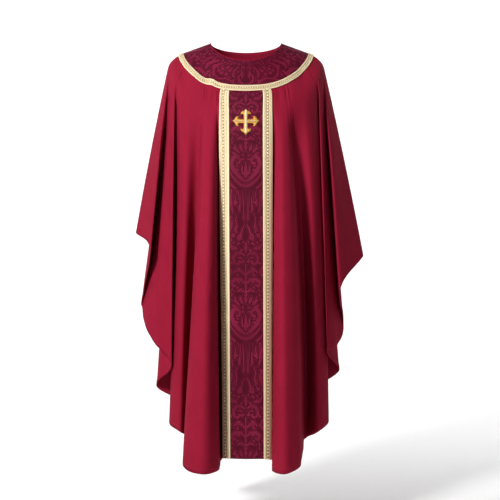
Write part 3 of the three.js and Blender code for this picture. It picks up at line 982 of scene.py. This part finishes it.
class CHASUBLE_OT_yoke(bpy.types.Operator):
    """Makes the damask yoke in front and behind"""

    bl_idname = "chasuble.yoke"
    bl_label = "Yoke"

    def execute(self, context):
        low, high = damask_lift(context.scene.chasuble_sizes)
        strokes = YOKE_FIGURE + small_leaves(YOKE_FIGURE, 300, 100, 420, 5)
        for side, cloth in CLOTHS.items():
            lines = evenly(cloth.lines, 330)
            heights = np.linspace(0.0012, YOKE_V, 44)
            grid = np.broadcast_arrays(lines[:, None], heights[None, :])
            steps = travelled(cloth.at(lines, YOKE_V * 0.6, 0))
            along = (steps - np.interp(MIDDLE_LINE, lines, steps)) / MM
            down = cloth.measure(*grid)[..., 1] / MM
            figure = figure_distance(strokes, np.abs(along)[:, None] + 0 * down, down)
            damask = MATERIALS["wine_damask"]
            yoke = sheet_piece(side + "_yoke_damask", cloth, *grid, low, high, damask, figure=figure)
            finish_piece(yoke, "damask", side + "_yoke")
        return {"FINISHED"}


class CHASUBLE_OT_orphrey(bpy.types.Operator):
    """Makes the damask orphrey down the middle of the front and of the back"""

    bl_idname = "chasuble.orphrey"
    bl_label = "Orphrey"

    def execute(self, context):
        low, high = damask_lift(context.scene.chasuble_sizes)
        strokes = PALMETTE + CROWN + DROPS + SCROLL
        strokes += small_leaves(strokes, ORPHREY_HALF_WIDTH, ORPHREY_REPEAT, 420, 3)
        for side, cloth in CLOTHS.items():
            lines = np.linspace(MIDDLE_LINE - 1.5, MIDDLE_LINE + 1.5, 45)
            share = np.linspace(0, 1, 470)[None, :]
            last = cloth.above_hem(lines, 1)[:, None]
            heights = ORPHREY_V + (last - ORPHREY_V) * share
            grid = np.broadcast_arrays(lines[:, None], heights)
            measure = cloth.measure(*grid)
            down = (measure[..., 1] - cloth.measure(np.array([MIDDLE_LINE]), np.array([YOKE_V]))[0, 1]) / MM
            turn = np.mod(down - ORPHREY_START, ORPHREY_REPEAT)
            x = np.abs(measure[..., 0]) / MM
            figure = figure_distance(strokes, x, turn)
            damask = MATERIALS["wine_damask"]
            orphrey = sheet_piece(side + "_orphrey_damask", cloth, *grid, low, high, damask, figure=figure)
            finish_piece(orphrey, "damask", side + "_orphrey")
        return {"FINISHED"}


def braid_pieces(name, cloth, lines, heights, sizes, across_first, pitches, beads):
    """A galloon: its woven ground with raised edges, a row of beads and slanting ribs on both sides of it."""
    base = damask_lift(sizes)[1] + 0.35 * MM
    count = lines.shape[0] if across_first else lines.shape[1]
    t = np.linspace(0, 1, count)
    relief = braid_relief(t)
    relief = np.broadcast_to(relief[:, None] if across_first else relief[None, :], lines.shape)
    top = base + sizes.braid + relief * 0.9 * MM
    woven = MATERIALS["pale_gold_braid"]
    ground = sheet_piece(name + "_braid", cloth, lines, heights, base, top, woven, relief=relief)
    finish_piece(ground, "gold_galloon", name)
    both = np.stack((lines, heights))
    axis = 1 if across_first else 2

    def row(place, lift):
        """Points and outward vectors along the galloon at a share of its width."""
        low = int(place * (count - 1))
        w = place * (count - 1) - low
        near, far = (both.take(low + n, axis=axis) for n in (0, 1))
        where = near * (1 - w) + far * w
        return cloth.at(*where, lift), cloth.normal(*where)

    bead_pitch, rib_pitch = pitches
    bead, rib = beads
    lift = base + sizes.braid
    for label, place, high, pitch, size, slant, material in (
        ("beads", BEAD_ROW, 0.45, bead_pitch, bead, 0.0, "pale_bead_purl"),
        ("outer_ribs", 0.21, 0.5, rib_pitch, rib, 0.7, "pale_gold_purl"),
        ("inner_ribs", 0.75, 0.5, rib_pitch, rib, -0.7, "pale_gold_purl"),
    ):
        path, outward = row(place, lift + high * MM)
        thread = MATERIALS[material]
        studs = studs_along(f"{name}_{label}", [path], [outward], pitch, size, slant, thread)
        finish_piece(studs, "gold_galloon")


class CHASUBLE_OT_galloons(bpy.types.Operator):
    """Makes the gold galloons of the yoke and of the orphrey"""

    bl_idname = "chasuble.galloons"
    bl_label = "Galloons"

    def execute(self, context):
        sizes = context.scene.chasuble_sizes
        for side, cloth in CLOTHS.items():
            lines = evenly(cloth.lines, 420)
            width = cloth.from_neck(lines, YOKE_GALLOON_WIDTH)
            share = np.linspace(0, 1, 15)[None, :]
            heights = YOKE_V + width[:, None] * (GALLOON_OUTSIDE - 1 + share)
            grid = np.broadcast_arrays(lines[:, None], heights)
            spaced = (sizes.bead_pitch * 0.75, sizes.rib_pitch * 0.75)
            beads = (Vector((4.6, 3.2, 2.2)) * MM, Vector((1.9, 5.4, 1.6)) * MM)
            braid_pieces(side + "_yoke_galloon", cloth, *grid, sizes, False, spaced, beads)
            for first in (MIDDLE_LINE - 2, MIDDLE_LINE + 1):
                hand = "right" if (first < MIDDLE_LINE) == (side == "front") else "left"
                lines = np.linspace(first, first + 1, 17)
                width = cloth.from_neck(lines, YOKE_GALLOON_WIDTH)
                start = (YOKE_V + width * GALLOON_OUTSIDE + 0.001)[:, None]
                last = cloth.above_hem(lines, 1)[:, None]
                heights = start + (last - start) * np.linspace(0, 1, 300)[None, :]
                grid = np.broadcast_arrays(lines[:, None], heights)
                spaced = (sizes.bead_pitch, sizes.rib_pitch)
                beads = (Vector((sizes.bead, 4.6 * MM, 2.8 * MM)), Vector((2.5, 7.8, 2.0)) * MM)
                braid_pieces(f"{side}_orphrey_galloon_{hand}", cloth, *grid, sizes, True, spaced, beads)
        return {"FINISHED"}


class CHASUBLE_OT_inside(bpy.types.Operator):
    """Makes the neck facing, the hem's allowance, the shoulder seams, the label and their stitches"""

    bl_idname = "chasuble.inside"
    bl_label = "Inside and hem"

    def execute(self, context):
        sizes = context.scene.chasuble_sizes
        red = MATERIALS["red_woven_twill"]
        thread = MATERIALS["red_sewing_thread"]
        for side, cloth in CLOTHS.items():
            inside = cloth.lines[(cloth.lines > 0.3) & (cloth.lines < LAST_LINE - 0.3)]
            across = inside[:, None]
            under = -LAYER_GAP * MM
            lower = under - sizes.inner
            heights = np.linspace(0.001, FACING_V, 8)[None, :]
            facing = sheet_piece(side + "_neck_facing_cloth", cloth, across, heights, lower, under, red)
            finish_piece(facing, "red_twill", side + "_neck_facing")
            top, fold = cloth.above_hem(inside, HEM_WIDTH), cloth.above_hem(inside, 1)
            heights = top[:, None] + (fold - top)[:, None] * np.linspace(0, 1, 4)[None, :]
            hem = sheet_piece(side + "_hem_allowance_cloth", cloth, across, heights, lower, under, red)
            finish_piece(hem, "red_twill", side + "_hem_allowance")
            line = evenly(inside, 900)
            row = cloth.above_hem(line, HEM_WIDTH - 2)
            path = cloth.at(line, row, sizes.cloth + 0.05 * MM)
            outward = cloth.normal(line, row)
            pitch = sizes.stitch_pitch
            size = Vector((3.2, 0.7, 0.55)) * MM
            stitches = studs_along(side + "_hem_stitches", [path], [outward], pitch, size, 0.0, thread)
            finish_piece(stitches, "red_twill")
            self.neck_piping(side, cloth, sizes.piping)
        self.label(CLOTHS["back"])
        self.seams(thread, sizes.overcast_pitch)
        return {"FINISHED"}

    def neck_piping(self, side, cloth, radius):
        """The narrow bound edge of the neck opening, a round roll of the red twill."""
        lines = evenly(cloth.lines, 240)
        centre = cloth.at(lines, 0, 1.1 * MM)
        outward = cloth.normal(lines, 0)
        along = unit(np.gradient(centre, axis=0))
        along[(0, -1), :] = (0, 1, 0)
        up = unit(np.cross(outward, along))
        turns = np.linspace(0, math.tau, 11)[:-1]
        cosines, sines = (f(turns)[None, :, None] for f in (np.cos, np.sin))
        ring = centre[:, None] + radius * (outward[:, None] * cosines + up[:, None] * sines)
        count = len(turns)
        faces = []
        for i in range(len(lines) - 1):
            for j in range(count):
                k = (j + 1) % count
                faces.append((i * count + j, i * count + k, (i + 1) * count + k, (i + 1) * count + j))
        faces.append(tuple(range(count))[::-1])
        faces.append(tuple((len(lines) - 1) * count + j for j in range(count)))
        piping = new_object(side + "_neck_piping", ring, faces, MATERIALS["red_woven_twill"])
        face_outwards(piping.data)
        add_weave(piping.data, *np.broadcast_arrays(travelled(centre)[:, None], radius * turns[None, :]))
        finish_piece(piping, "red_twill")

    def label(self, cloth):
        """The blank label inside the back of the neck, stitched down along its upper edge."""
        span = LABEL_WIDTH / 2 / ORPHREY_HALF_WIDTH
        lines = np.linspace(MIDDLE_LINE - span, MIDDLE_LINE + span, 24)[:, None]
        near, far = (cloth.from_neck(np.array([MIDDLE_LINE]), d)[0] for d in (34, 62))
        heights = np.linspace(near, far, 16)[None, :]
        share = np.linspace(0, 1, 16)[None, :]
        bulge = -1.6 * MM - 1.1 * MM * np.sin(math.pi * share) + 0 * lines
        satin = MATERIALS["white_satin_label"]
        label = sheet_piece("size_label_satin", cloth, lines, heights, bulge - 0.4 * MM, bulge, satin)
        finish_piece(label, "label_satin", "size_label")

    def seams(self, thread, pitch):
        """The two pressed layers of each shoulder seam's allowance and their overcast edge."""
        front = CLOTHS["front"]
        for hand, line, turn in (("right", 0, 1), ("left", LAST_LINE, -1)):
            steps = np.linspace(0.036, 0.985, 70)
            edge = front.at(line, steps, 0)
            along = unit(np.gradient(edge[:, (0, 2)], axis=0))
            inward = np.stack((-turn * along[:, 1], 0 * steps, turn * along[:, 0]), -1)
            wave = 0.25 * MM * np.sin(steps * 90)[:, None] * np.array((0, 1, 0))
            flat = edge * (1, 0, 1)
            shares = np.linspace(0, 1, 6)
            rows = [flat + inward * (2.4 + SEAM_ALLOWANCE * share) * MM + wave * share for share in shares]
            grid = np.stack(rows, 1)
            thick = np.array((0, 0.3 * MM, 0))
            points = np.concatenate((grid + thick, grid - thick))
            name = "shoulder_seam_allowance_" + hand
            twill = MATERIALS["red_woven_twill"]
            seam = new_object(name + "_cloth", points, grid_faces(*grid.shape[:2]), twill)
            face_outwards(seam.data)
            across = SEAM_ALLOWANCE * MM * shares[None, :]
            add_weave(seam.data, *np.broadcast_arrays(across, travelled(edge)[:, None]))
            finish_piece(seam, "red_twill", name)
            outer = flat + inward * (SEAM_ALLOWANCE + 1.6) * MM
            size = Vector((0.7, 1.9, 1.9)) * MM
            sewn = studs_along(name + "_overcast", [outer], [inward], pitch, size, 0.3, thread)
            finish_piece(sewn, "red_twill")


def cross_outline(half, steps):
    """The cross's outline as points about its middle, each edge cut into short steps."""
    arm = [(x * half, y * half) for x, y in CROSS_ARM]
    quarter = arm + [(-x, y) for x, y in arm[1:-1][::-1]]
    corners = []
    for k in range(4):
        c, s = math.cos(k * math.pi / 2), math.sin(k * math.pi / 2)
        corners += [(x * c - y * s, x * s + y * c) for x, y in quarter]
    corners = np.array(corners)
    following = np.roll(corners, -1, axis=0)
    cuts = np.arange(steps) / steps
    return corners, (corners[:, None] + (following - corners)[:, None] * cuts[None, :, None]).reshape(-1, 2)


def inside_distance(corners, x, y):
    """Distance to the outline, positive inside it."""
    following = np.roll(corners, -1, axis=0)
    away = np.full(x.shape, 9.0)
    crossings = np.zeros(x.shape, dtype=int)
    for (ax, ay), (bx, by) in zip(corners, following):
        dx, dy = bx - ax, by - ay
        t = np.clip(((x - ax) * dx + (y - ay) * dy) / (dx * dx + dy * dy), 0, 1)
        away = np.minimum(away, np.hypot(x - ax - t * dx, y - ay - t * dy))
        if abs(dy) > 1e-12:
            passes = ((ay > y) != (by > y)) & (x < dx * (y - ay) / dy + ax)
            crossings += passes
    return np.where(crossings % 2 == 1, away, -away)


class CHASUBLE_OT_cross(bpy.types.Operator):
    """Makes the padded gold cross on the orphrey and its corded outline"""

    bl_idname = "chasuble.cross"
    bl_label = "Cross"

    def execute(self, context):
        sizes = context.scene.chasuble_sizes
        cloth = CLOTHS["front"]
        self.cloth = cloth
        self.base = damask_lift(sizes)[1]
        low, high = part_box("front_cross")
        middle_z = (low[2] + high[2]) / 2
        column = int(np.argmin(np.abs(cloth.lines - MIDDLE_LINE)))
        self.middle_v = float(np.interp(-middle_z, -cloth.points[column, :, 2], cloth.heights))
        here = cloth.measure(np.array([MIDDLE_LINE]), np.array([self.middle_v]))[0]
        beside = cloth.measure(np.array([MIDDLE_LINE + 0.5]), np.array([self.middle_v]))[0]
        below = cloth.measure(np.array([MIDDLE_LINE]), np.array([self.middle_v + 0.02]))[0]
        self.line_per_metre = 0.5 / (beside[0] - here[0])
        self.v_per_metre = 0.02 / (below[1] - here[1])
        half = sizes.cross / 2
        corners, outline = cross_outline(half * 0.95, 7)
        self.fills(half, corners)
        self.cords(outline, half)
        return {"FINISHED"}

    def on_cloth(self, x, y, lift):
        """Points of the cross on the orphrey, x to the wearer's left and y up."""
        lines = MIDDLE_LINE + x * self.line_per_metre
        heights = self.middle_v - y * self.v_per_metre
        return self.cloth.at(lines, heights, self.base + lift), self.cloth.normal(lines, heights)

    def fills(self, half, corners):
        """The padded fields: yellow gold arms, domed between their edges."""
        cell = 0.8 * MM
        count = int(half / cell)
        ticks = np.arange(-count, count + 1) * cell
        x, y = np.meshgrid(ticks, ticks, indexing="ij")
        depth = inside_distance(corners, x, y)
        slope_x, slope_y = np.gradient(depth, cell)
        steep = np.maximum(np.hypot(slope_x, slope_y), 0.5)
        outside = depth < 0
        x = x - np.where(outside, depth * slope_x / steep**2, 0)
        y = y - np.where(outside, depth * slope_y / steep**2, 0)
        rise = 0.5 * MM + 1.9 * MM * np.sqrt(smooth_step(depth, -0.4 * MM, 3.2 * MM))
        top = self.on_cloth(x, y, rise)[0]
        bottom = self.on_cloth(x, y, 0.15 * MM)[0]
        kept = depth > -0.6 * cell
        whole = kept[:-1, :-1] & kept[1:, :-1] & kept[1:, 1:] & kept[:-1, 1:]
        size = x.size
        index = np.arange(size).reshape(x.shape)
        faces = []
        edges = {}
        for i, j in np.argwhere(whole):
            ring = [index[i, j], index[i + 1, j], index[i + 1, j + 1], index[i, j + 1]]
            faces.append([int(k) for k in ring])
            faces.append([int(k) + size for k in ring[::-1]])
            for a, b in zip(ring, ring[1:] + ring[:1]):
                if (b, a) in edges:
                    del edges[(b, a)]
                else:
                    edges[(a, b)] = True
        faces += [[int(b), int(a), int(a) + size, int(b) + size] for a, b in edges]
        used = sorted({k for face in faces for k in face})
        renamed = {k: n for n, k in enumerate(used)}
        points = np.concatenate((top.reshape(-1, 3), bottom.reshape(-1, 3)))[used]
        faces = [[renamed[k] for k in face] for face in faces]
        cross = new_object("front_cross_fields", points, faces, MATERIALS["yellow_gold_embroidery"])
        face_outwards(cross.data)
        finish_piece(cross, "gold_embroidery", "front_cross")

    def cords(self, outline, half):
        """The brown outline, the pale upright bar and the twisted cord along the crossbar."""
        closed = np.concatenate((outline, outline[:1]))
        edge = [self.on_cloth(closed[:, 0], closed[:, 1], 0.9 * MM)]
        steps = np.linspace(-0.8, 0.8, 60) * half
        upright = [self.on_cloth(offset * MM, steps, 3 * MM) for offset in (-1.5, 0, 1.5)]
        steps = np.linspace(0.1, 0.82, 40) * half
        crossbar = [self.on_cloth(side * steps, 0, 3 * MM) for side in (-1, 1)]
        for label, rows, pitch, size, slant, material in (
            ("outline", edge, 1.25, (2.0, 1.5, 1.5), 0.5, "brown_gold_cord"),
            ("upright", upright, 1.5, (2.2, 1.9, 1.9), 0.6, "pale_gold_embroidery"),
            ("crossbar", crossbar, 1.9, (2.2, 3.6, 2.0), 0.7, "pale_gold_purl"),
        ):
            name = "front_cross_" + label
            size = Vector(size) * MM
            cord = studs_along(name, *zip(*rows), pitch * MM, size, slant, MATERIALS[material])
            finish_piece(cord, "gold_embroidery")


class CHASUBLE_OT_declare(bpy.types.Operator):
    """Gathers the trims of each panel and does nothing more with them"""

    bl_idname = "chasuble.declare"
    bl_label = "Sheets"

    def execute(self, context):
        pieces = bpy.context.scene.objects
        for side in PANELS:
            trims = [o for o in pieces if o.name.startswith(side) and "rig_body" in o and o.type == "MESH"]
            trims = [o for o in trims if not o.hide_render and o.name != side + "_panel_cloth"]
        return {"FINISHED"}


class CHASUBLE_OT_stage(bpy.types.Operator):
    """Makes the floor, the backdrop, the lights and the camera"""

    bl_idname = "chasuble.stage"
    bl_label = "Stage"

    def execute(self, context):
        settings = context.scene.chasuble_stage
        self.backdrop(settings)
        self.light("key_light", (-1.85, -2.68, 1.4), (0.05, 0, -0.5), settings.key, 0.6)
        self.light("fill_light", (1.6, -2.8, 0.2), (0, 0, -0.7), settings.fill, 1.6)
        for side in (-1, 1):
            place, target = (side * 2.0, 1.2, 1.2), (side * 0.3, 3.2, -0.4)
            self.light(f"backdrop_light_{side + 2}", place, target, settings.wash, 1.2)
        world = bpy.data.worlds.new("studio")
        context.scene.world = world
        world.use_nodes = True
        tree = world.node_tree
        tree.nodes.clear()
        # The room is dim for the cloth and pale behind it.
        dim = add(tree, "ShaderNodeBackground", {"Color": (1, 1, 1, 1), "Strength": settings.sky})
        pale = add(tree, "ShaderNodeBackground", {"Color": (1, 1, 1, 1), "Strength": 0.92})
        seen = add(tree, "ShaderNodeLightPath").outputs["Is Camera Ray"]
        both = add(tree, "ShaderNodeMixShader", {0: seen, 1: dim, 2: pale})
        add(tree, "ShaderNodeOutputWorld", {"Surface": both})
        lens = bpy.data.cameras.new("camera")
        camera = bpy.data.objects.new("camera", lens)
        context.scene.collection.objects.link(camera)
        lens.sensor_width = 36
        lens.lens = 36 * settings.distance / settings.width
        camera.location = (0.012, -settings.distance, -0.598)
        camera.rotation_euler = (math.pi / 2, 0, 0)
        context.scene.camera = camera
        context.scene.view_settings.view_transform = "Standard"
        return {"FINISHED"}

    def backdrop(self, settings):
        """A pale floor that curves up into a backdrop."""
        bend = 1.2
        start = 2.4
        profile = [(-5.0, 0.0), (-2.0, 0.0), (1.0, 0.0)]
        for turn in np.linspace(0, math.pi / 2, 17).tolist():
            profile.append((start + bend * math.sin(turn), bend * (1 - math.cos(turn))))
        profile += [(start + bend, 3.0), (start + bend, 5.0)]
        points = [(x, y, settings.floor + z) for x in (-6.0, 6.0) for y, z in profile]
        count = len(profile)
        faces = [(k, k + count, k + count + 1, k + 1) for k in range(count - 1)]
        paper = new_object("studio_backdrop", points, faces, MATERIALS["pale_studio_paper"])

    def light(self, name, place, target, power, size):
        """A square soft light that faces a target."""
        lamp = bpy.data.lights.new(name, "AREA")
        lamp.energy = power
        lamp.size = size
        made = bpy.data.objects.new(name, lamp)
        bpy.context.scene.collection.objects.link(made)
        made.location = place
        made.rotation_euler = (Vector(target) - Vector(place)).to_track_quat("-Z", "Y").to_euler()


STEPS = ("materials", "panels", "yoke", "orphrey", "galloons", "inside", "cross", "declare", "stage")


class CHASUBLE_PT_sidebar(bpy.types.Panel):
    """Lists the steps that make the chasuble"""

    bl_label = "Chasuble"
    bl_idname = "CHASUBLE_PT_sidebar"
    bl_space_type = "VIEW_3D"
    bl_region_type = "UI"
    bl_category = "Chasuble"

    def draw(self, context):
        for step in STEPS:
            self.layout.operator("chasuble." + step)


CLASSES = (
    ChasubleSizes,
    ChasubleColours,
    ChasubleStage,
    CHASUBLE_OT_materials,
    CHASUBLE_OT_panels,
    CHASUBLE_OT_yoke,
    CHASUBLE_OT_orphrey,
    CHASUBLE_OT_galloons,
    CHASUBLE_OT_inside,
    CHASUBLE_OT_cross,
    CHASUBLE_OT_declare,
    CHASUBLE_OT_stage,
    CHASUBLE_PT_sidebar,
)


def register():
    """Adds the classes and their settings to Blender."""
    for kind in CLASSES:
        bpy.utils.register_class(kind)
    bpy.types.Scene.chasuble_sizes = bpy.props.PointerProperty(type=ChasubleSizes)
    bpy.types.Scene.chasuble_colours = bpy.props.PointerProperty(type=ChasubleColours)
    bpy.types.Scene.chasuble_stage = bpy.props.PointerProperty(type=ChasubleStage)


def unregister():
    """Removes the settings and the classes."""
    for name in ("chasuble_sizes", "chasuble_colours", "chasuble_stage"):
        delattr(bpy.types.Scene, name)
    for kind in reversed(CLASSES):
        bpy.utils.unregister_class(kind)


def main():
    """Makes the whole chasuble and its stage."""
    register()
    for step in STEPS:
        getattr(bpy.ops.chasuble, step)()


if __name__ == "__main__":
    main()
